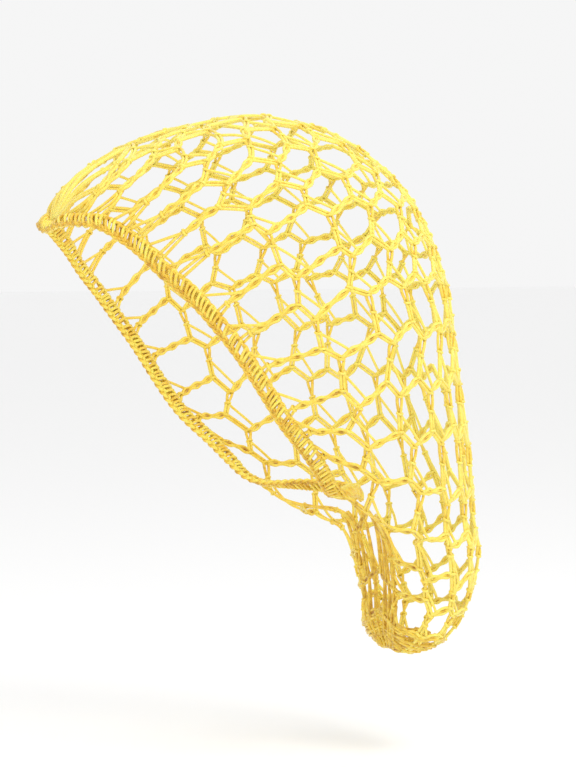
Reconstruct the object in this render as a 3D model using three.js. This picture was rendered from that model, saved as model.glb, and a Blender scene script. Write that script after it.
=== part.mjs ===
// Crochet hair snood: a honeycomb net bag worked in courses, held open by a plaited band.
// Millimetres, +Z up. The face side is towards -Y and the wearer's left is +X.
// The origin is the point inside the crown that rests on the top of the head.
import * as THREE from "three";

// Driving dimensions
const DEPTH = 250; // forehead to the back of the bag
const HEIGHT = 303; // crown to the bottom of the bag
const WIDTH = 174; // over the ears
const WALL = 2.6; // thickness of the net's yarn bars
const GAP_PITCH = 36; // from one gap to the next along a course
const COURSE_PITCH = 31; // from one row of gaps to the next
const BAR = 6.5; // width of the bar between two gaps
const SELVAGE = 4; // width of the net's own edge
const BAND_WIDTH = 9;
const BAND_THICKNESS = 4.4;
const BAND_CLEARANCE = 0.3; // between the band and the net's edge

// Steps of the faceted surfaces
const EDGE_STEP = 8; // along the net's edge
const BAND_STEP = 6; // along the band
const SHORTEST_SIDE = 3.2; // of a gap
const SAG = 1.5; // a gap's side that strays more than this from the surface gets a corner half-way
const REACH = 2.6 * GAP_PITCH; // as far as one gap's shape depends on another
const BAND_TURN = 3 * BAND_WIDTH; // as far as the band looks to turn away from the net
const BAND_EVENING = 3; // stations either side that even out the band's turning
const NUDGE = 0.01; // the step in v and in u that the surface's tangents are taken over

// Each row is one course of stitches, from the forehead over the crown to the bottom of the bag.
// A course runs from the near half of the band, over the mid-line, to the far half.
// midY, bandY are shares of DEPTH; midZ, bandZ, bow are shares of HEIGHT;
// half is a share of half the WIDTH; wrap is in degrees, from the mid-line round to the band.
// From the first row with a wrap of 180 on, a course closes on the side that faces the neck.
const COLUMNS = ["midY", "midZ", "bandY", "bandZ", "half", "wrap", "bow"];
const COURSES = [
  [-0.464, -0.193, -0.464, -0.193, 0.04, 90, 0],
  [-0.4, -0.113, -0.462, -0.185, 0.18, 145, 0],
  [-0.268, -0.05, -0.456, -0.18, 0.36, 157, 0],
  [-0.148, -0.02, -0.428, -0.18, 0.53, 140, 0],
  [0.0, 0.0, -0.404, -0.183, 0.67, 139, 0.01],
  [0.144, -0.02, -0.372, -0.203, 0.8, 138, 0.015],
  [0.252, -0.063, -0.336, -0.23, 0.89, 136, 0.02],
  [0.34, -0.125, -0.296, -0.27, 0.96, 134, 0.025],
  [0.392, -0.187, -0.252, -0.303, 0.99, 130, 0.025],
  [0.426, -0.25, -0.192, -0.36, 1, 126, 0.02],
  [0.452, -0.313, -0.14, -0.413, 1, 124, 0.015],
  [0.466, -0.387, -0.092, -0.47, 0.99, 122, 0.01],
  [0.484, -0.483, -0.032, -0.54, 0.94, 119, 0],
  [0.506, -0.57, 0.028, -0.59, 0.87, 117, -0.01],
  [0.526, -0.66, 0.076, -0.637, 0.79, 116, -0.02],
  [0.538, -0.743, 0.128, -0.683, 0.69, 122, -0.04],
  [0.536, -0.82, 0.28, -0.713, 0.61, 180, -0.04],
  [0.514, -0.9, 0.322, -0.83, 0.52, 180, -0.03],
  [0.452, -0.972, 0.328, -0.93, 0.4, 180, -0.02],
  [0.382, -1, 0.35, -0.995, 0.1, 180, 0],
];
const LAST_COURSE = COURSES.length - 1;
const CAP_COURSE = LAST_COURSE - 1; // from here down the bottom is a cap without gaps
const CAP_ROWS = 2;
const CAP_SIDES = 16;
const FIRST_RING = COURSES.findIndex((row) => row[COLUMNS.indexOf("wrap")] === 180);
const TIP_COURSE = 0.9; // from here up the forehead's tip has no gaps
const FIRST_GAPS = 1.9; // the course where the first row of gaps lies
const LAST_GAPS = CAP_COURSE - 0.9; // and the last one
const FEWEST = 2; // gaps on either side of the mid-line
const SIDE = 0.45; // the place along a course where the rows of gaps are spaced out

const scales = [DEPTH, HEIGHT, DEPTH, HEIGHT, WIDTH / 2, Math.PI / 180, HEIGHT];

// A course's values between the rows, on a smooth curve through them.
function course(v) {
  const at = THREE.MathUtils.clamp(v, 0, LAST_COURSE);
  const i = Math.min(Math.floor(at), LAST_COURSE - 1);
  const t = at - i;
  const rows = [i - 1, i, i + 1, i + 2].map((k) => COURSES[THREE.MathUtils.clamp(k, 0, LAST_COURSE)]);
  const values = {};
  COLUMNS.forEach((name, c) => {
    const [p0, p1, p2, p3] = rows.map((row) => row[c] * scales[c]);
    const m1 = (p2 - p0) / 2;
    const m2 = (p3 - p1) / 2;
    values[name] =
      (2 * t ** 3 - 3 * t ** 2 + 1) * p1 +
      (t ** 3 - 2 * t ** 2 + t) * m1 +
      (3 * t ** 2 - 2 * t ** 3) * p2 +
      (t ** 3 - t ** 2) * m2;
  });
  values.wrap = Math.min(values.wrap, Math.PI);
  return values;
}

// The middle of the wall: v counts courses, and u runs from the near band, 0, over the mid-line, 1,
// to the far band, 2.
function surface(v, u) {
  const c = course(v);
  const phi = c.wrap * (1 - u);
  const along = (1 - Math.cos(phi)) / (1 - Math.cos(c.wrap));
  const chord = new THREE.Vector2(c.bandY - c.midY, c.bandZ - c.midZ);
  const length = Math.max(chord.length(), 1e-6);
  const bow = (c.bow * Math.sin(Math.PI * u * (2 - u))) / length;
  return new THREE.Vector3(
    c.half * Math.sin(phi),
    c.midY + chord.x * along + bow * chord.y,
    c.midZ + chord.y * along - bow * chord.x + WALL / 2,
  );
}

// The outward normal and the two tangents of the surface at (v, u).
function frameAt(v, u) {
  const dv = v > LAST_COURSE - 2 * NUDGE ? -NUDGE : NUDGE;
  const du = u > 1 ? -NUDGE : NUDGE;
  const here = surface(v, u);
  const tangentV = surface(v + dv, u).sub(here).divideScalar(dv);
  const tangentU = surface(v, u + du).sub(here).divideScalar(du);
  const normal = tangentV.clone().cross(tangentU).normalize();
  const onSeam = v >= FIRST_RING && (u === 0 || u === 2);
  if (onSeam || u === 1) normal.setX(0).normalize();
  return { here, tangentU, tangentV, normal };
}

function courseLength(v) {
  let length = 0;
  const steps = 40;
  for (let k = 0; k < steps; k++) {
    length += surface(v, (2 * k) / steps).distanceTo(surface(v, (2 * (k + 1)) / steps));
  }
  return length;
}

// Points along a line on the surface, a step apart or a little less, without the last one.
function walk(from, to, step) {
  const fine = 200;
  const lengths = [0];
  const put = (k) => [from[0] + ((to[0] - from[0]) * k) / fine, from[1] + ((to[1] - from[1]) * k) / fine];
  for (let k = 1; k <= fine; k++) {
    lengths.push(lengths[k - 1] + surface(...put(k)).distanceTo(surface(...put(k - 1))));
  }
  const count = Math.max(2, Math.ceil(lengths[fine] / step));
  const points = [];
  for (let n = 0; n < count; n++) {
    const k = lengths.findIndex((length) => length >= (lengths[fine] * n) / count);
    points.push(put(k));
  }
  return points;
}

// The rows of gaps: an odd row has a gap on the mid-line and an even row a bar.
function gapCentres() {
  const line = walk([FIRST_GAPS, SIDE], [LAST_GAPS, SIDE], COURSE_PITCH);
  const rows = [...line.map(([v]) => v), LAST_GAPS];
  return rows.flatMap((v, row) => {
    const odd = row % 2 === 0;
    const margin = v < FIRST_RING ? SELVAGE / courseLength(v) : 0;
    const length = courseLength(v) * (1 - 2 * margin);
    const halfCount = odd ? (length / GAP_PITCH - 1) / 2 : length / GAP_PITCH / 2;
    const count = 2 * Math.max(FEWEST, Math.round(halfCount)) + (odd ? 1 : 0);
    return Array.from({ length: count }, (_, k) => {
      const u = 2 * (margin + ((k + 0.5) / count) * (1 - 2 * margin));
      return { v, u };
    });
  });
}

// Cuts a convex polygon back to the side of a line where point . normal is at most reach.
function clip(polygon, normal, reach) {
  const kept = [];
  polygon.forEach((point, k) => {
    const next = polygon[(k + 1) % polygon.length];
    const a = point.dot(normal) - reach;
    const b = next.dot(normal) - reach;
    if (a <= 0) kept.push(point);
    if (a < 0 !== b < 0) kept.push(point.clone().lerp(next, a / (a - b)));
  });
  return kept;
}

// The two widths of a cell one course long and one unit of u wide, each square to the other way,
// with the surface's metric that they come from.
function metricAt(v, u) {
  const { tangentU, tangentV } = frameAt(v, u);
  const [vv, uv, uu] = [tangentV.dot(tangentV), tangentU.dot(tangentV), tangentU.dot(tangentU)];
  return { vv, uv, uu, acrossV: Math.sqrt(vv - uv ** 2 / uu), acrossU: Math.sqrt(uu - uv ** 2 / vv) };
}

// One gap, as corners [v, u]: what lies nearer to its own centre than to any other, less half a bar.
// Two neighbours measure from the same metric, half-way between them, so their gaps never overlap.
function gap(centre, centres) {
  const own = new THREE.Vector2(centre.v, centre.u);
  const edge = metricAt(centre.v, centre.u < 1 ? 0 : 2);
  const side = (centre.v < FIRST_RING ? SELVAGE : BAR / 2) / edge.acrossU;
  const bottom = CAP_COURSE - BAR / 2 / metricAt(CAP_COURSE, centre.u).acrossV;
  let polygon = [
    [TIP_COURSE, side],
    [bottom, side],
    [bottom, 2 - side],
    [TIP_COURSE, 2 - side],
  ].map((corner) => new THREE.Vector2(...corner).sub(own));
  for (const other of centres) {
    if (other === centre) continue;
    const step = new THREE.Vector2(other.v, other.u).sub(own);
    const { vv, uv, uu } = metricAt(own.x + step.x / 2, own.y + step.y / 2);
    const normal = new THREE.Vector2(vv * step.x + uv * step.y, uv * step.x + uu * step.y);
    const distance = Math.sqrt(step.dot(normal));
    if (distance > REACH) continue;
    polygon = clip(polygon, normal.divideScalar(distance), (distance - BAR) / 2);
  }
  const ends = (corners, k) => [corners[k], corners[(k + 1) % corners.length]];
  const isLong = ([a, b]) => surface(...a).distanceTo(surface(...b)) > SHORTEST_SIDE;
  const corners = polygon.map((corner) => corner.add(own).toArray());
  const kept = corners.filter((_, k) => isLong(ends(corners, k)));
  return kept.flatMap((corner, k) => {
    const [a, b] = ends(kept, k);
    const middle = [(a[0] + b[0]) / 2, (a[1] + b[1]) / 2];
    const sag = surface(...a).lerp(surface(...b), 0.5).distanceTo(surface(...middle));
    return sag > SAG ? [corner, middle] : [corner];
  });
}

function geometryOf(points, triangles) {
  const geometry = new THREE.BufferGeometry();
  geometry.setAttribute("position", new THREE.Float32BufferAttribute(points.flatMap((p) => p.toArray()), 3));
  geometry.setIndex(triangles.flat());
  geometry.computeVertexNormals();
  return geometry;
}

// The net: two skins half a wall either side of the surface, with walls round the gaps and the edge.
function netGeometry() {
  const last = CAP_COURSE;
  const nearEdge = walk([0, 0], [FIRST_RING, 0], EDGE_STEP);
  const seam = walk([FIRST_RING, 0], [last, 0], EDGE_STEP);
  const nearSide = [...nearEdge, ...seam];
  const ring = Array.from({ length: CAP_SIDES + 1 }, (_, k) => [last, (2 * k) / CAP_SIDES]);
  const farSide = nearSide.map(([v]) => [v, 2]).reverse();
  const outline = [...nearSide, ...ring, ...farSide];
  const isSeam = ([v, u]) => v >= FIRST_RING && (u === 0 || u === 2);
  const isRing = ([v]) => v === last;
  const centres = gapCentres();
  const gaps = centres.map((c) => gap(c, centres)).filter((corners) => corners.length > 3);

  // The net laid flat for cutting it into triangles, with every side bent inwards and a notch at the
  // nape, which no triangle reaches across
  const [bendAcross, bendDown, notch] = [0.05, 0.3, 1.2];
  const spread = ([v, u]) => {
    const across = u - 1;
    const down = (2 * v) / last - 1;
    const length = last * COURSE_PITCH;
    const x = down * length * (1 + bendAcross * across ** 2);
    const y = across * length * (1 + bendDown * down ** 2 + (notch * Math.abs(v - FIRST_RING)) / last);
    return new THREE.Vector2(x, y);
  };
  for (const corners of gaps) {
    if (!THREE.ShapeUtils.isClockWise(corners.map(spread))) corners.reverse();
  }
  const spots = [...outline, ...gaps.flat()];
  const flatSpots = spots.map(spread);
  const faces = THREE.ShapeUtils.triangulateShape(outline.map(spread), gaps.map((g) => g.map(spread)));
  const points = [];
  const byPlace = new Map();
  const add = (p) => {
    const key = p.toArray().map((n) => Math.round(n * 1000)).join();
    if (!byPlace.has(key)) {
      byPlace.set(key, points.length);
      points.push(p);
    }
    return byPlace.get(key);
  };
  const addBoth = ([v, u]) => {
    const { here, normal } = frameAt(v, u);
    return [1, -1].map((side) => add(here.clone().addScaledVector(normal, (side * WALL) / 2)));
  };
  const skins = spots.map(addBoth);

  const triangles = [];
  const addFace = (a, b, c) => triangles.push([a[0], b[0], c[0]], [a[1], c[1], b[1]]);
  for (const face of faces) {
    if (THREE.ShapeUtils.isClockWise(face.map((k) => flatSpots[k]))) face.reverse();
    addFace(...face.map((k) => skins[k]));
  }
  const wall = (loop) => {
    loop.forEach((a, k) => {
      const b = loop[(k + 1) % loop.length];
      if (isSeam(spots[a]) && isSeam(spots[b])) return;
      if (isRing(spots[a]) && isRing(spots[b])) return;
      triangles.push([skins[a][0], skins[a][1], skins[b][1]], [skins[a][0], skins[b][1], skins[b][0]]);
    });
  };
  let start = outline.length;
  wall(outline.map((_, k) => k));
  for (const corners of gaps) {
    wall(corners.map((_, k) => start + k));
    start += corners.length;
  }

  // The cap: rows of quads down to a tip where the courses are drawn together
  let above = ring.map(addBoth);
  for (let r = 1; r <= CAP_ROWS; r++) {
    const v = last + (r * (LAST_COURSE - last)) / CAP_ROWS;
    const below = ring.map(([, u]) => addBoth([v, u]));
    for (let k = 0; k < CAP_SIDES; k++) {
      addFace(above[k], below[k], below[k + 1]);
      addFace(above[k], below[k + 1], above[k + 1]);
    }
    above = below;
  }
  const tips = [0, 1].map((side) => {
    const middle = new THREE.Vector3();
    for (let k = 0; k < CAP_SIDES; k++) middle.add(points[above[k][side]]);
    return add(middle.divideScalar(CAP_SIDES));
  });
  for (let k = 0; k < CAP_SIDES; k++) addFace(above[k], tips, above[k + 1]);
  return geometryOf(points, triangles.filter(([a, b, c]) => a !== b && b !== c && a !== c));
}

// The band: a flat plait along the net's edge, turned away from the net at every place.
function bandGeometry() {
  const near = walk([0, 0], [FIRST_RING, 0], BAND_STEP).slice(1);
  const forehead = surface(0, 1);
  const nape = surface(FIRST_RING, 0);
  const nearPoints = near.map((p) => surface(...p));
  const farPoints = nearPoints.map((p) => p.clone().setX(-p.x)).reverse();
  const line = [forehead, ...nearPoints, nape, ...farPoints];

  const samples = [];
  const [stepV, stepU] = [0.25, 0.02];
  for (let v = 0; v <= LAST_COURSE; v += stepV) {
    for (let u = stepU; u < 2; u += stepU) samples.push(surface(v, u));
  }
  const turns = line.map((here, k) => {
    const before = line[(k + line.length - 1) % line.length];
    const tangent = line[(k + 1) % line.length].clone().sub(before).normalize();
    const close = samples.filter((p) => p.distanceTo(here) < BAND_TURN);
    const away = here.clone().multiplyScalar(close.length);
    close.forEach((p) => away.sub(p));
    return { tangent, away: away.addScaledVector(tangent, -away.dot(tangent)).normalize() };
  });
  const stations = line.map((here, k) => {
    const { tangent } = turns[k];
    const away = new THREE.Vector3();
    for (let n = -BAND_EVENING; n <= BAND_EVENING; n++) {
      away.add(turns[(k + n + line.length) % line.length].away);
    }
    away.addScaledVector(tangent, -away.dot(tangent)).normalize();
    return { here, away, out: tangent.clone().cross(away).normalize() };
  });

  const [w, t] = [BAND_WIDTH / 2, BAND_THICKNESS / 2];
  const c = t / 2; // of the section's bevels
  const half = [[w, t - c], [w - c, t], [c - w, t], [-w, t - c]];
  const section = [...half, ...half.map(([a, b]) => [a, -b]).reverse()];
  const points = [];
  const triangles = [];
  stations.forEach(({ here, away, out }, k) => {
    const middle = here.clone().addScaledVector(away, w + BAND_CLEARANCE);
    const next = (k + 1) % stations.length;
    section.forEach(([a, b], n) => {
      points.push(middle.clone().addScaledVector(away, a).addScaledVector(out, b));
      const m = (n + 1) % section.length;
      const at = (station, corner) => station * section.length + corner;
      triangles.push([at(k, n), at(k, m), at(next, m)], [at(k, n), at(next, m), at(next, n)]);
    });
  });
  return geometryOf(points, triangles);
}

const snood = new THREE.Group();

const net = new THREE.Mesh(
  netGeometry(),
  new THREE.MeshStandardMaterial({ color: 0xf2cf4a, roughness: 0.55, metalness: 0 }),
);
net.name = "net";
snood.add(net);

const band = new THREE.Mesh(
  bandGeometry(),
  new THREE.MeshStandardMaterial({ color: 0xe8b93a, roughness: 0.55, metalness: 0 }),
);
band.name = "band";
snood.add(band);

export default snood;
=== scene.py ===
"""Crochet hair snood: its yarn, band, camera, lights and floor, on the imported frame.

Lengths are in millimetres until a mesh is made. A place on the net is (v, u): v counts the courses
from the forehead over the crown to the bottom of the bag, and u runs along a course from the near
band, 0, over the mid-line, 1, to the far band, 2.
"""
import math

import bpy
import numpy as np
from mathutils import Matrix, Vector


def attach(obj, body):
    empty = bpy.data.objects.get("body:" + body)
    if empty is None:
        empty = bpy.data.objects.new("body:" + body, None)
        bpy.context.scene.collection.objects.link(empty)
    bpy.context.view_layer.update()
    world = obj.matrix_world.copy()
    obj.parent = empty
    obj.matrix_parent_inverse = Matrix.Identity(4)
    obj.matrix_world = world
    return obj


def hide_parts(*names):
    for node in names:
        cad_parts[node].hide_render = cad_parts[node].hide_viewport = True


MM = 0.001
BODY = "root"

# The net's form
DEPTH = 250.0
HEIGHT = 303.0
WIDTH = 174.0
WALL = 2.6
BAND_WIDTH = 9.0
BAND_CLEARANCE = 0.3

# Columns: midY, midZ, bandY, bandZ, half, wrap, bow, as shares of the sizes above; wrap in degrees.
FORM = np.array([
    [-0.464, -0.193, -0.464, -0.193, 0.04, 90, 0],
    [-0.4, -0.113, -0.462, -0.185, 0.18, 145, 0],
    [-0.268, -0.05, -0.456, -0.18, 0.36, 157, 0],
    [-0.148, -0.02, -0.428, -0.18, 0.53, 140, 0],
    [0.0, 0.0, -0.404, -0.183, 0.67, 139, 0.01],
    [0.144, -0.02, -0.372, -0.203, 0.8, 138, 0.015],
    [0.252, -0.063, -0.336, -0.23, 0.89, 136, 0.02],
    [0.34, -0.125, -0.296, -0.27, 0.96, 134, 0.025],
    [0.392, -0.187, -0.252, -0.303, 0.99, 130, 0.025],
    [0.426, -0.25, -0.192, -0.36, 1, 126, 0.02],
    [0.452, -0.313, -0.14, -0.413, 1, 124, 0.015],
    [0.466, -0.387, -0.092, -0.47, 0.99, 122, 0.01],
    [0.484, -0.483, -0.032, -0.54, 0.94, 119, 0],
    [0.506, -0.57, 0.028, -0.59, 0.87, 117, -0.01],
    [0.526, -0.66, 0.076, -0.637, 0.79, 116, -0.02],
    [0.538, -0.743, 0.128, -0.683, 0.69, 122, -0.04],
    [0.536, -0.82, 0.28, -0.713, 0.61, 180, -0.04],
    [0.514, -0.9, 0.322, -0.83, 0.52, 180, -0.03],
    [0.452, -0.972, 0.328, -0.93, 0.4, 180, -0.02],
    [0.382, -1.0, 0.35, -0.995, 0.1, 180, 0],
])
FORM_SCALES = np.array([DEPTH, HEIGHT, DEPTH, HEIGHT, WIDTH / 2, math.pi / 180, HEIGHT])
LAST_COURSE = len(FORM) - 1
FIRST_RING = 16  # the first course that closes on the neck side

# The courses. In each, upper nodes, where a chain ends, and lower nodes, where the next one starts,
# take turns from the band to the mid-line; a lower node hangs the next course's upper node.
# Columns: cells from the band to the mid-line, where a half ends the course on a lower node; v at the
# band and at the waist; u where the first chain starts and of the first upper node; and how far in v
# the lower nodes hang under the upper ones.
COURSES = [
    [1.5, 1.6, 1.4, 0.4, 0.7, 0.3],
    [3.0, 1.8, 1.5, 0.3, 0.65, 0.4],
    [4.5, 2.6, 2.2, 0.25, 0.56, 0.5],
    [6.0, 4.4, 3.7, 0.12, 0.36, 0.4],
    [6.5, 5.2, 4.7, 0.1, 0.26, 0.4],
    [7.0, 6.2, 5.8, 0.09, 0.21, 0.4],
    [7.5, 7.1, 6.7, 0.09, 0.21, 0.45],
    [8.0, 8.7, 8.1, 0.03, 0.19, 0.35],
    [8.5, 9.6, 9.2, 0.03, 0.17, 0.35],
    [8.0, 10.6, 10.5, 0.02, 0.17, 0.35],
    [8.5, 11.7, 11.6, 0.02, 0.17, 0.3],
    [8.0, 12.4, 12.7, 0.02, 0.14, 0.4],
    [7.5, 13.3, 14.0, 0.01, 0.12, 0.35],
    [7.0, 14.8, 15.2, 0.01, 0.1, 0.5],
    [6.5, 16.2, 16.5, 0.0, 0.1, 0.3],
    [6.0, 17.1, 17.2, 0.0, 0.13, 0.15],
    [5.5, 17.8, 17.85, 0.0, 0.1, 0.15],
]
FIRST_ROW = 2  # the first of these courses lies at this v on the mid-line
WAIST = 0.4  # u of the waist, half-way round the near side
NODE_CROWDING = 0.85  # under 1, the cells narrow towards the mid-line
NODE_TRAIL = 0.03  # how far in u a lower node lies past its upper one
UNEVENNESS = (0.05, 0.008)  # of the nodes, in v and u
FOOT_RUN = 4.0  # courses that a foot drops for each unit of u that it crosses
FOOT_DROP = (0.1, 0.9)  # the least and the most of that


def form_row(v):
    """The form's columns at any v, on a smooth curve through the rows."""
    rows = FORM * FORM_SCALES
    v = np.clip(np.asarray(v, float), 0, LAST_COURSE)
    i = np.minimum(np.floor(v).astype(int), LAST_COURSE - 1)
    t = (v - i)[..., None]
    p0, p1, p2, p3 = (rows[np.clip(i + k, 0, LAST_COURSE)] for k in (-1, 0, 1, 2))
    m1 = (p2 - p0) / 2
    m2 = (p3 - p1) / 2
    row = (
        (2 * t**3 - 3 * t**2 + 1) * p1
        + (t**3 - 2 * t**2 + t) * m1
        + (3 * t**2 - 2 * t**3) * p2
        + (t**3 - t**2) * m2
    )
    row[..., 5] = np.minimum(row[..., 5], math.pi)
    return np.moveaxis(row, -1, 0)


def on_net(v, u):
    """The middle of the net's wall at (v, u)."""
    v, u = np.broadcast_arrays(np.asarray(v, float), np.asarray(u, float))
    mid_y, mid_z, band_y, band_z, half, wrap, bow = form_row(v)
    phi = wrap * (1 - u)
    along = (1 - np.cos(phi)) / (1 - np.cos(wrap))
    chord_y = band_y - mid_y
    chord_z = band_z - mid_z
    lift = bow * np.sin(np.pi * u * (2 - u)) / np.maximum(np.hypot(chord_y, chord_z), 1e-6)
    x = half * np.sin(phi)
    y = mid_y + chord_y * along + lift * chord_z
    z = mid_z + chord_z * along - lift * chord_y + WALL / 2
    return np.stack([x, y, z], -1)


def unit(a):
    """The vectors of a at length 1."""
    return a / np.maximum(np.linalg.norm(a, axis=-1, keepdims=True), 1e-9)


def outward(v, u):
    """The net's outward normal at (v, u)."""
    v, u = np.broadcast_arrays(np.asarray(v, float), np.asarray(u, float))
    step = 0.02
    v0 = np.clip(v - step, 0, LAST_COURSE - 2 * step)
    along_v = on_net(v0 + 2 * step, u) - on_net(v0, u)
    u0 = np.clip(u - step, 0, 2 - 2 * step)
    along_u = on_net(v, u0 + 2 * step) - on_net(v, u0)
    return unit(np.cross(along_v, along_u))


class Yarn:
    """Strands of yarn, gathered to become one mesh."""

    SIDES = 6

    def __init__(self):
        self.points = []
        self.faces = []
        self.uvs = []
        self.shades = []
        self.count = 0

    def strand(self, line, radius, shade=0.5, closed=False):
        """A round strand along the line. shade is the painted light and shade in its colour: 0 for amber
        yarn in painted shade and 1 for lit yarn.
        """
        line = np.asarray(line, float)
        if not closed:
            before = line[:1] + (line[:1] - line[1:2]) * 0.15
            after = line[-1:] + (line[-1:] - line[-2:-1]) * 0.15
            radius = np.broadcast_to(np.asarray(radius, float), len(line))
            radius = np.concatenate([radius[:1] * 0.15, radius, radius[-1:] * 0.15])
            shade = np.broadcast_to(np.asarray(shade, float), len(line))
            shade = np.concatenate([shade[:1], shade, shade[-1:]])
            line = np.concatenate([before, line, after])
        count = len(line)
        if closed:
            tangents = unit(np.roll(line, -1, 0) - np.roll(line, 1, 0))
        else:
            tangents = unit(np.gradient(line, axis=0))
        side = np.cross(tangents[0], [0.31, 0.57, 0.76])
        sides = np.empty((count, 3))
        for k, tangent in enumerate(tangents):
            side = side - tangent * side.dot(tangent)
            side = side / math.sqrt(side.dot(side))
            sides[k] = side
        ups = np.cross(tangents, sides)
        turn = np.linspace(0, 2 * math.pi, self.SIDES, endpoint=False)
        radius = np.broadcast_to(np.asarray(radius, float), count)[:, None, None]
        ring = np.cos(turn)[None, :, None] * sides[:, None] + np.sin(turn)[None, :, None] * ups[:, None]
        self.points.append((line[:, None] + radius * ring).reshape(-1, 3))
        shade = np.broadcast_to(np.asarray(shade, float), count)
        self.shades.append(np.repeat(shade, self.SIDES))
        length = np.concatenate([[0], np.cumsum(np.linalg.norm(np.diff(line, axis=0), axis=1))])
        spans = count if closed else count - 1
        k = np.arange(spans)[:, None]
        s = np.arange(self.SIDES)[None, :]
        k1 = (k + 1) % count
        s1 = (s + 1) % self.SIDES
        corners = [k * self.SIDES + s, k * self.SIDES + s1, k1 * self.SIDES + s1, k1 * self.SIDES + s]
        faces = np.stack(corners, -1).reshape(-1, 4) + self.count
        self.faces.append(faces)
        near = length[k] + 0 * s
        far = length[np.minimum(k + 1, count - 1)] + 0 * s
        left = s / self.SIDES + 0 * k
        right = (s + 1) / self.SIDES + 0 * k
        uv = np.stack([np.stack([left, near], -1), np.stack([right, near], -1),
                       np.stack([right, far], -1), np.stack([left, far], -1)], 2)
        self.uvs.append(uv.reshape(-1, 2))
        self.count += count * self.SIDES

    def mesh(self, name, material, slot, node):
        """Makes the strands one object that stands for the CAD node."""
        points = np.concatenate(self.points) * MM
        faces = np.concatenate(self.faces)
        mesh = bpy.data.meshes.new(name)
        mesh.vertices.add(len(points))
        mesh.vertices.foreach_set("co", points.ravel())
        mesh.loops.add(faces.size)
        mesh.loops.foreach_set("vertex_index", faces.ravel())
        mesh.polygons.add(len(faces))
        mesh.polygons.foreach_set("loop_start", np.arange(0, faces.size, 4))
        mesh.polygons.foreach_set("use_smooth", np.ones(len(faces), bool))
        uv = mesh.uv_layers.new(name="yarn")
        uv.data.foreach_set("uv", np.concatenate(self.uvs).ravel())
        # Painted light and shade of each point, read by the yarn material
        shade = mesh.attributes.new("shade", "FLOAT", "POINT")
        shade.data.foreach_set("value", np.concatenate(self.shades))
        mesh.materials.append(material)
        mesh.update()
        mesh.validate()
        obj = bpy.data.objects.new(name, mesh)
        bpy.context.collection.objects.link(obj)
        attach(obj, BODY)
        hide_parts(node)
        return obj


# Yarn sizes
STRAND = 0.88  # radius
CHAIN_STITCH = 10.5  # length of a chain stitch
CHAIN_NARROW = 0.5  # a leg's place beside the line, at a stitch's ends and where it is widest
CHAIN_WIDE = 1.55
CHAIN_SKEW = 1.4  # over 1, a stitch is widest past its middle
CHAIN_SWAY = 0.25
CHAIN_PAINTED_SHADE = 0.3  # painted shade: how much darker the middle strand is inside a stitch, where it sinks between the legs
PAIR_SPREAD = 0.86
KNOT = 1.6  # radius of the ring at a node
KNOT_SHARE = 0.45  # where between two nodes the knot of a hanging pair lies
MID_LINE = 0.999  # from this u on, a place counts as on the mid-line
FLOAT_JOINS = 0.28  # where on the next chain a float ends
FOOT_SPAN = 0.5  # courses from a chain's foot up to its float's start on the band
HEM = 18.75  # the last course's place
HEM_SPANS = 3
BROW = 0.12  # where the first course's links start, behind the band's front
HEM_BUNDLES = 4
NECK_BUNDLES = 3
AWAY_EVENING = 18.0  # the band's direction is evened out this far along the edge, each way
PLAIT_INSET = 2.0  # from the band's free edge to the middle of its plait
PLAIT_TURN = 14.0
POST_PITCH = 2.7
POST_LEAN = 3.0


def sampled(a, b, step):
    """Places from a to b on the net, and the frame there: points, normals and sideways directions."""
    a = np.asarray(a, float)
    b = np.asarray(b, float)
    coarse = a + (b - a) * np.linspace(0, 1, 9)[:, None]
    length = np.linalg.norm(np.diff(on_net(coarse[:, 0], coarse[:, 1]), axis=0), axis=1).sum()
    count = max(4, int(round(length / step)) + 1)
    t = np.linspace(0, 1, count)
    places = a + (b - a) * t[:, None]
    points = on_net(places[:, 0], places[:, 1])
    normals = outward(places[:, 0], places[:, 1])
    tangents = unit(np.gradient(points, axis=0))
    across = unit(np.cross(normals, tangents))
    return t, length, points, normals, across


def braid(yarn, a, b, phase, shade):
    """A crochet chain from a to b: each stitch's two legs swell round the strand in its middle."""
    t, length, points, normals, across = sampled(a, b, 1.0)
    stitches = max(1, round(length / CHAIN_STITCH))
    place = t * stitches
    swell = np.sin(math.pi * np.mod(place, 1) ** CHAIN_SKEW) ** 2
    sway = CHAIN_SWAY * np.sin(math.pi * place + 6 * phase)
    for side in (-1, 1):
        swing = side * (CHAIN_NARROW + (CHAIN_WIDE - CHAIN_NARROW) * swell) + sway
        lift = side * CHAIN_SWAY * np.cos(math.pi * place)
        # Painted light: each leg is lighter where the stitch swells
        yarn.strand(points + across * swing[:, None] + normals * lift[:, None], STRAND, shade + 0.1 * swell)
    lift = 0.45 - 0.75 * swell
    swing = 0.4 * np.sin(2 * math.pi * place) + sway
    # Painted shade: the middle strand is darker where it sinks between the legs
    middle = shade - CHAIN_PAINTED_SHADE * swell
    yarn.strand(points + across * swing[:, None] + normals * lift[:, None], STRAND, middle)


def pair(yarn, a, b, spread, shade, twist=0.0):
    """Two strands side by side from a to b, spread apart by the given amounts at the ends."""
    t, _, points, normals, across = sampled(a, b, 2.2)
    gap = (spread[0] + (spread[1] - spread[0]) * t)[:, None]
    turn = (math.pi * twist * t)[:, None]
    for side in (-1, 1):
        offset = across * gap * np.cos(turn) + normals * (gap * np.sin(turn))
        yarn.strand(points + side * offset, STRAND, shade)


def single(yarn, a, b, shade, lift=0.0):
    """One strand from a to b, lifted off the net."""
    _, _, points, normals, _ = sampled(a, b, 3.0)
    yarn.strand(points + normals * lift, STRAND * 0.95, shade)


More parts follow.
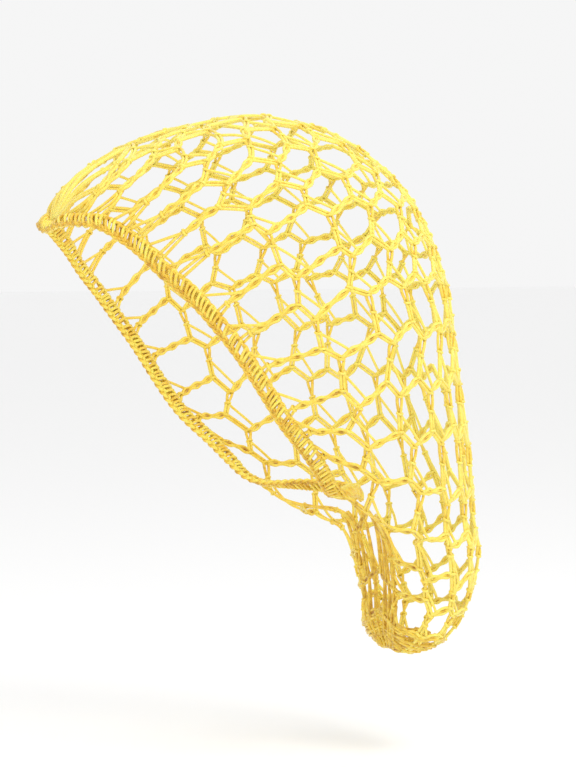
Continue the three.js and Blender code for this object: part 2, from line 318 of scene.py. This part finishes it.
def loop(yarn, at, heading, radius, shade):
    """A ring of yarn round the bar that leaves the place at for the place heading."""
    here = on_net(*at)
    normal = outward(*at)
    axis = unit(on_net(*heading) - here)
    across = unit(np.cross(normal, axis))
    turn = np.linspace(0, 2 * math.pi, 12, endpoint=False)[:, None]
    ring = here + across * np.cos(turn) * radius + normal * np.sin(turn) * radius * 0.8
    ring = ring + axis * 0.5 * np.sin(turn + 0.7)
    yarn.strand(ring, STRAND * 0.85, shade, closed=True)


def course_line(row, u):
    """v along a course: a parabola through its places at the band, the waist and the mid-line."""
    band_v, waist_v = COURSES[row][1:3]
    mid_v = FIRST_ROW + row
    at_band = (u - WAIST) * (u - 1) / WAIST
    at_waist = u * (1 - u) / (WAIST * (1 - WAIST))
    at_mid = u * (u - WAIST) / (1 - WAIST)
    return band_v * at_band + waist_v * at_waist + mid_v * at_mid


def course_places(row, rng):
    """The nodes of one course from the band to the mid-line, as a list of (kind, v, u)."""
    cells, _, _, _, first_u, drop = COURSES[row]
    places = []
    for n in range(int(2 * cells) - 1):
        last = n == int(2 * cells) - 2
        u = first_u + (1 - first_u) * (n // 2 / (cells - 1)) ** NODE_CROWDING
        low = n % 2
        v = course_line(row, u) + low * drop + UNEVENNESS[0] * rng.normal()
        u = min(u + low * NODE_TRAIL + UNEVENNESS[1] * rng.normal(), 0.98)
        places.append(("lower" if low else "upper", v, 1.0 if last else u))
    return places


def course_ends(row):
    """Where a course's first chain starts, and its foot on the band."""
    _, band_v, _, start_u, _, _ = COURSES[row]
    return (band_v, start_u), (band_v + float(np.clip(FOOT_RUN * start_u, *FOOT_DROP)), 0.0)


def mirrored(place):
    """The same place on the far half."""
    return (place[0], 2 - place[1])


def on_mid_line(*places):
    """Whether all the places lie on the mid-line, where only one half lays yarn."""
    return all(u > MID_LINE for _, u in places)


def toward(a, b, share):
    """The place at a share of the way from a to b."""
    return (a[0] + (b[0] - a[0]) * share, a[1] + (b[1] - a[1]) * share)


def painted_shade_at(place):
    """Painted light and shade: yarn is darker along the edge, most of all at the neck, and lighter on the
    crown.
    """
    neck = np.clip((place[0] - 11) / 6, 0, 1) * np.clip(1 - 4 * place[1], 0, 1)
    return float(np.clip(0.46 + 0.3 * place[1] - 0.25 * neck, 0, 0.75))


def of_kind(nodes, wanted):
    return [(v, u) for kind, v, u in nodes if kind == wanted]


def lay_start(parts, turn, start, foot, first):
    """The pair that ties a course's first chain to the band, and the single strand above it."""
    shade = painted_shade_at(foot)
    edge = (foot[0] - FOOT_SPAN, 0.0)
    pair(parts["pairs"], turn(start), turn(foot), (0.9, 1.4), shade)
    loop(parts["knots"], turn(start), turn(foot), KNOT, shade)
    joins = start if start[1] > 0.05 else toward(start, first, FLOAT_JOINS)
    single(parts["floats"], turn(edge), turn(joins), shade, 0.4)


def lay_course(parts, turn, nodes, rng):
    """The chains and pairs along a course."""
    for (kind, *a), (_, *b) in zip(nodes, nodes[1:]):
        shade = painted_shade_at(a)
        if kind == "upper":
            pair(parts["pairs"], turn(a), turn(b), (PAIR_SPREAD, PAIR_SPREAD), shade)
        else:
            braid(parts["braids"], turn(a), turn(b), rng.random(), shade)


def hang_next(parts, turn, nodes, below, skips_mid_line):
    """The knotted pairs from a course's lower nodes to the next course, each with its float."""
    uppers = of_kind(below, "upper")
    nexts = of_kind(below, "lower")
    for n, (a, b) in enumerate(zip(of_kind(nodes, "lower"), uppers)):
        if skips_mid_line and on_mid_line(a, b):
            continue
        knot = toward(a, b, KNOT_SHARE)
        shade = painted_shade_at(a)
        # Painted shade: the wrapped pair and the knot at the lower node are darker
        pair(parts["wraps"], turn(a), turn(knot), (1.5, 0.7), shade * 0.7, twist=0.5)
        pair(parts["pairs"], turn(knot), turn(b), (0.9, 0.86), shade)
        loop(parts["knots"], turn(a), turn(knot), KNOT + 0.1, shade * 0.8)
        loop(parts["knots"], turn(knot), turn(b), KNOT - 0.1, shade)
        loop(parts["knots"], turn(b), turn(knot), KNOT, shade)
        if n < len(nexts) and n + 1 < len(uppers):
            target = toward(nexts[n], uppers[n + 1], FLOAT_JOINS)
            single(parts["floats"], turn(knot), turn(target), shade)


def lay_brow(parts, turn, nodes, skips_mid_line):
    """The pairs from the band's front to the first course."""
    for b in [course_ends(0)[0]] + [(v, u) for _, v, u in nodes]:
        if skips_mid_line and on_mid_line(b):
            continue
        a = (BROW, b[1])
        pair(parts["pairs"], turn(a), turn(b), (0.9, 1.0), painted_shade_at(b))
        loop(parts["knots"], turn(b), turn(a), KNOT, painted_shade_at(b))


def lay_bundles(parts, turn, rng):
    """The gathered yarn round the bottom of the bag and down its neck side, darker in painted shade."""
    for n in range(HEM_BUNDLES):
        v = HEM - 0.9 + 0.8 * n / HEM_BUNDLES
        for u in np.arange(0, 0.95, 0.17):
            a = (v + 0.25 * rng.random(), u)
            b = (v + 0.25 * rng.random(), min(u + 0.26, 1))
            # Painted shade on the hem bundles
            pair(parts["wraps"], turn(a), turn(b), (0.9, 0.9), 0.3, 0.4)
    for n in range(NECK_BUNDLES):
        u = 0.03 + 0.05 * n
        for v in np.arange(FIRST_RING, HEM, 0.75):
            a = (v, u + 0.03 * rng.random())
            b = (min(v + 1.1, HEM), u + 0.03 * rng.random())
            # Painted shade on the neck bundles
            pair(parts["wraps"], turn(a), turn(b), (0.8, 0.8), 0.25, 0.5)


def build_net(sides):
    """Works every course on both halves of the net."""
    rng = np.random.default_rng(7)
    courses = [course_places(row, rng) for row in range(len(COURSES))]
    turns = [lambda place: place, mirrored]
    for row, nodes in enumerate(courses):
        start, foot = course_ends(row)
        first = tuple(nodes[0][1:])
        for half, (turn, parts) in enumerate(zip(turns, sides)):
            braid(parts["braids"], turn(start), turn(first), rng.random(), painted_shade_at(start))
            if foot[0] < FIRST_RING:
                lay_start(parts, turn, start, foot, first)
            lay_course(parts, turn, nodes, rng)
            if row + 1 < len(courses):
                hang_next(parts, turn, nodes, courses[row + 1], half == 1)
                continue
            for a in of_kind(nodes, "lower"):
                if half == 0 or not on_mid_line(a):
                    pair(parts["pairs"], turn(a), turn((HEM, a[1])), (1.4, 0.9), painted_shade_at(a))
    for half, (turn, parts) in enumerate(zip(turns, sides)):
        for v in (HEM - 0.35, HEM):
            for n in range(HEM_SPANS):
                a = (v, n / HEM_SPANS)
                b = (v, (n + 1) / HEM_SPANS)
                braid(parts["braids"], turn(a), turn(b), rng.random(), painted_shade_at(a))
        lay_brow(parts, turn, courses[0], half == 1)
        lay_bundles(parts, turn, rng)


def edge_line(step):
    """The net's edge, once round: points, and the directions along it, away from the net and out."""
    vs = np.linspace(0.0, FIRST_RING, 400)
    near = on_net(vs, 0.0)
    far = near * [-1, 1, 1]
    around = np.concatenate([near, far[::-1][1:-1]])
    closed = np.concatenate([around, around[:1]])
    length = np.concatenate([[0], np.cumsum(np.linalg.norm(np.diff(closed, axis=0), axis=1))])
    count = int(length[-1] / step)
    at = np.linspace(0, length[-1], count, endpoint=False)
    points = np.stack([np.interp(at, length, closed[:, k]) for k in range(3)], -1)
    along = unit(np.roll(points, -1, 0) - np.roll(points, 1, 0))
    grid_v, grid_u = np.meshgrid(np.arange(0, LAST_COURSE, 0.25), np.arange(0.02, 2, 0.02))
    cloud = on_net(grid_v.ravel(), grid_u.ravel())
    away = np.empty_like(points)
    for k, p in enumerate(points):
        near_by = cloud[np.linalg.norm(cloud - p, axis=1) < 3 * BAND_WIDTH]
        direction = p - near_by.mean(0)
        away[k] = direction - along[k] * direction.dot(along[k])
    away = unit(away)
    window = max(1, int(AWAY_EVENING / step))
    away = sum(np.roll(away, k, 0) for k in range(-window, window + 1))
    away = unit(away - along * np.sum(away * along, 1, keepdims=True))
    out = unit(np.cross(along, away))
    return points, along, away, out, length[-1]


def smoothed(line, reach):
    """A closed line evened out over reach points to each side."""
    return sum(np.roll(line, k, 0) for k in range(-reach, reach + 1)) / (2 * reach + 1)


def build_band(parts):
    """Slanted double posts from the net's edge down to a plaited chain."""
    rng = np.random.default_rng(3)
    points, along, away, out, length = edge_line(1.0)
    count = len(points)
    low = smoothed(smoothed(points + away * (BAND_WIDTH - PLAIT_INSET), 7), 5)
    turns = round(length / PLAIT_TURN)
    t = np.linspace(0, 1, count, endpoint=False)
    for k in range(3):
        angle = 2 * math.pi * (turns * t + k / 3)[:, None]
        line = low + away * (1.1 * np.sin(angle)) + out * (0.8 * np.sin(2 * angle))
        # Painted light and shade: each plait strand is lighter where it stands out and darker where it dips
        # in
        parts["chain"].strand(line, 0.95, 0.5 + 0.3 * np.sin(2 * angle[:, 0]), closed=True)
    for k in range(2):
        angle = 2 * math.pi * (turns * 1.5 * t + k / 2)[:, None]
        line = smoothed(points, 2) + away * (0.8 + 0.6 * np.sin(angle)) + out * (0.6 * np.cos(angle))
        # Painted light and shade: each edge chain strand is lighter where it turns outward
        parts["chain"].strand(line, 0.85, 0.6 + 0.25 * np.cos(angle[:, 0]), closed=True)
    share = np.linspace(0, 1, 7)[:, None]
    bulge = np.sin(math.pi * share)
    last_tip = low[-5]
    at = 0.0
    while at < count - 2:
        top = int(at)
        tip = int(at + POST_LEAN + rng.uniform(-0.8, 0.8)) % count
        at += POST_PITCH * rng.uniform(0.85, 1.15)
        if np.linalg.norm(low[tip] - last_tip) < 0.55 * POST_PITCH:
            continue
        last_tip = low[tip]
        shade = rng.uniform(0.35, 0.8)
        base = points[top] + away[top] * 0.2 + (low[tip] - away[tip] * 0.4 - points[top]) * share
        facing = unit(out[top] + out[tip])
        for side in (-1, 1):
            line = base + facing * (side * 0.6 + side * 0.7 * bulge)
            line = line + along[top] * (side * (0.3 + 0.5 * bulge))
            parts["posts"].strand(line, 0.8 + 0.1 * rng.random(), shade)


def yarn_material(name, lit_colour, shaded_colour, crease_shadow):
    """Satin plied yarn: colour by the strand's painted light and shade and a fine noise, with the ply as
    bump.
    """
    material = bpy.data.materials.new(name)
    material.use_nodes = True
    nodes = material.node_tree.nodes
    links = material.node_tree.links
    shader = nodes["Principled BSDF"]
    shader.inputs["Roughness"].default_value = 0.36
    shader.inputs["Subsurface Weight"].default_value = 0.12
    shader.inputs["Subsurface Radius"].default_value = (0.0015, 0.0009, 0.0002)
    shader.inputs["Subsurface Scale"].default_value = 1.0
    shader.inputs["Sheen Weight"].default_value = 0.25
    shader.inputs["Sheen Roughness"].default_value = 0.4
    shader.inputs["Specular IOR Level"].default_value = 0.45
    # The strands' painted light and shade
    shade = nodes.new("ShaderNodeAttribute")
    shade.attribute_name = "shade"
    place = nodes.new("ShaderNodeTexCoord")
    noise = nodes.new("ShaderNodeTexNoise")
    noise.inputs["Scale"].default_value = 260.0
    noise.inputs["Detail"].default_value = 3.0
    links.new(place.outputs["Object"], noise.inputs["Vector"])
    vary = nodes.new("ShaderNodeMath")
    vary.operation = "MULTIPLY_ADD"
    vary.inputs[1].default_value = 0.7
    vary.inputs[2].default_value = -0.35
    links.new(noise.outputs["Fac"], vary.inputs[0])
    total = nodes.new("ShaderNodeMath")
    total.operation = "ADD"
    total.use_clamp = True
    links.new(shade.outputs["Fac"], total.inputs[0])
    links.new(vary.outputs[0], total.inputs[1])
    # Painted light and shade: shadow in the creases at 0, shaded yarn at 0.32, lit yarn at 0.75
    ramp = nodes.new("ShaderNodeValToRGB")
    ramp.color_ramp.elements[0].position = 0.0
    ramp.color_ramp.elements[0].color = (*crease_shadow, 1)
    ramp.color_ramp.elements[1].position = 0.32
    ramp.color_ramp.elements[1].color = (*shaded_colour, 1)
    top = ramp.color_ramp.elements.new(0.75)
    top.color = (*lit_colour, 1)
    links.new(total.outputs[0], ramp.inputs["Fac"])
    links.new(ramp.outputs["Color"], shader.inputs["Base Color"])
    split = nodes.new("ShaderNodeSeparateXYZ")
    links.new(place.outputs["UV"], split.inputs["Vector"])
    ply = nodes.new("ShaderNodeMath")
    ply.operation = "MULTIPLY_ADD"
    ply.inputs[1].default_value = 3.0
    slope = nodes.new("ShaderNodeMath")
    slope.operation = "MULTIPLY"
    slope.inputs[1].default_value = 0.45
    links.new(split.outputs["Y"], slope.inputs[0])
    links.new(split.outputs["X"], ply.inputs[0])
    links.new(slope.outputs[0], ply.inputs[2])
    turns = nodes.new("ShaderNodeMath")
    turns.operation = "MULTIPLY"
    turns.inputs[1].default_value = 2 * math.pi
    wave = nodes.new("ShaderNodeMath")
    wave.operation = "SINE"
    links.new(ply.outputs[0], turns.inputs[0])
    links.new(turns.outputs[0], wave.inputs[0])
    bump = nodes.new("ShaderNodeBump")
    bump.inputs["Strength"].default_value = 0.3
    bump.inputs["Distance"].default_value = 0.00025
    links.new(wave.outputs[0], bump.inputs["Height"])
    links.new(bump.outputs["Normal"], shader.inputs["Normal"])
    return material


# The photograph's view
AZIMUTH = 64.0
ELEVATION = 3.0
DISTANCE = 1600.0
FRAME_WIDTH = 316.8
AIM_RIGHT = 20.9
AIM_UP = -146.2


def make_camera():
    azimuth = math.radians(AZIMUTH)
    elevation = math.radians(ELEVATION)
    back = Vector((math.sin(azimuth) * math.cos(elevation), -math.cos(azimuth) * math.cos(elevation),
                   math.sin(elevation)))
    right = Vector((math.cos(azimuth), math.sin(azimuth), 0))
    up = back.cross(right)
    data = bpy.data.cameras.new("camera")
    data.sensor_fit = "HORIZONTAL"
    data.sensor_width = 36.0
    data.lens = data.sensor_width * DISTANCE / FRAME_WIDTH
    camera = bpy.data.objects.new("camera", data)
    bpy.context.collection.objects.link(camera)
    camera.location = (right * AIM_RIGHT + up * AIM_UP + back * DISTANCE) * MM
    camera.rotation_mode = "QUATERNION"
    camera.rotation_quaternion = (-back).to_track_quat("-Z", "Y")
    bpy.context.scene.camera = camera
    return back, right, up


def area_light(name, place, target, size, power, color):
    data = bpy.data.lights.new(name, "AREA")
    data.shape = "DISK"
    data.size = size
    data.energy = power
    data.color = color
    light = bpy.data.objects.new(name, data)
    bpy.context.collection.objects.link(light)
    light.location = place
    light.rotation_mode = "QUATERNION"
    light.rotation_quaternion = (Vector(target) - Vector(place)).to_track_quat("-Z", "Y")


def make_studio(back, right, up):
    scene = bpy.context.scene
    scene.view_settings.view_transform = "Standard"
    world = bpy.data.worlds.new("studio")
    world.use_nodes = True
    world.node_tree.nodes["Background"].inputs["Color"].default_value = (1, 1, 1, 1)
    world.node_tree.nodes["Background"].inputs["Strength"].default_value = 0.92
    scene.world = world
    middle = Vector((0, 0, -0.15))
    key = middle + right * 0.7 + up * 1.1 + back * 0.9
    area_light("key", key, middle, 0.6, 10, (1, 0.99, 0.96))
    fill = middle - right * 1.2 + up * 0.3 + back * 0.9
    area_light("fill", fill, middle, 0.9, 1.5, (0.96, 0.98, 1))
    mesh = bpy.data.meshes.new("floor")
    reach = 12.0
    level = -0.36
    signs = [(-1, -1), (1, -1), (1, 1), (-1, 1)]
    mesh.from_pydata([(reach * x, reach * y, level) for x, y in signs], [], [(0, 1, 2, 3)])
    paint = bpy.data.materials.new("floor")
    paint.use_nodes = True
    paint.node_tree.nodes["Principled BSDF"].inputs["Base Color"].default_value = (0.97, 0.97, 0.97, 1)
    paint.node_tree.nodes["Principled BSDF"].inputs["Roughness"].default_value = 0.9
    mesh.materials.append(paint)
    floor = bpy.data.objects.new("floor", mesh)
    bpy.context.collection.objects.link(floor)


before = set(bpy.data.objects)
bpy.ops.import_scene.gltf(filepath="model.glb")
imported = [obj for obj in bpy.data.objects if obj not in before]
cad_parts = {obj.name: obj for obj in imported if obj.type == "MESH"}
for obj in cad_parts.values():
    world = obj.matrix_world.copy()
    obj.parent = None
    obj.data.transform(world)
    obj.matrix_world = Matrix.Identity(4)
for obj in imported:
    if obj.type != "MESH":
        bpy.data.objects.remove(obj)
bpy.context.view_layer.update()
view_axes = make_camera()
make_studio(*view_axes)

# Each yarn's lit colour, shaded colour and shadow colour for the creases: painted light and shade
net_yarn = yarn_material("net_yarn", (0.95, 0.82, 0.17), (0.87, 0.6, 0.06), (0.45, 0.2, 0.015))
band_yarn = yarn_material("band_yarn", (0.93, 0.76, 0.12), (0.83, 0.52, 0.045), (0.4, 0.17, 0.01))

KINDS = ["braids", "pairs", "wraps", "floats", "knots"]
net_sides = [{kind: Yarn() for kind in KINDS} for _ in range(2)]
build_net(net_sides)
for side_name, side_parts in zip(["left", "right"], net_sides):
    for kind in KINDS:
        side_parts[kind].mesh(f"net_{kind}_{side_name}", net_yarn, "yarn", "net")

band_parts = {"chain": Yarn(), "posts": Yarn()}
build_band(band_parts)
for kind, strands in band_parts.items():
    strands.mesh(f"band_{kind}", band_yarn, "edge_yarn", "band")
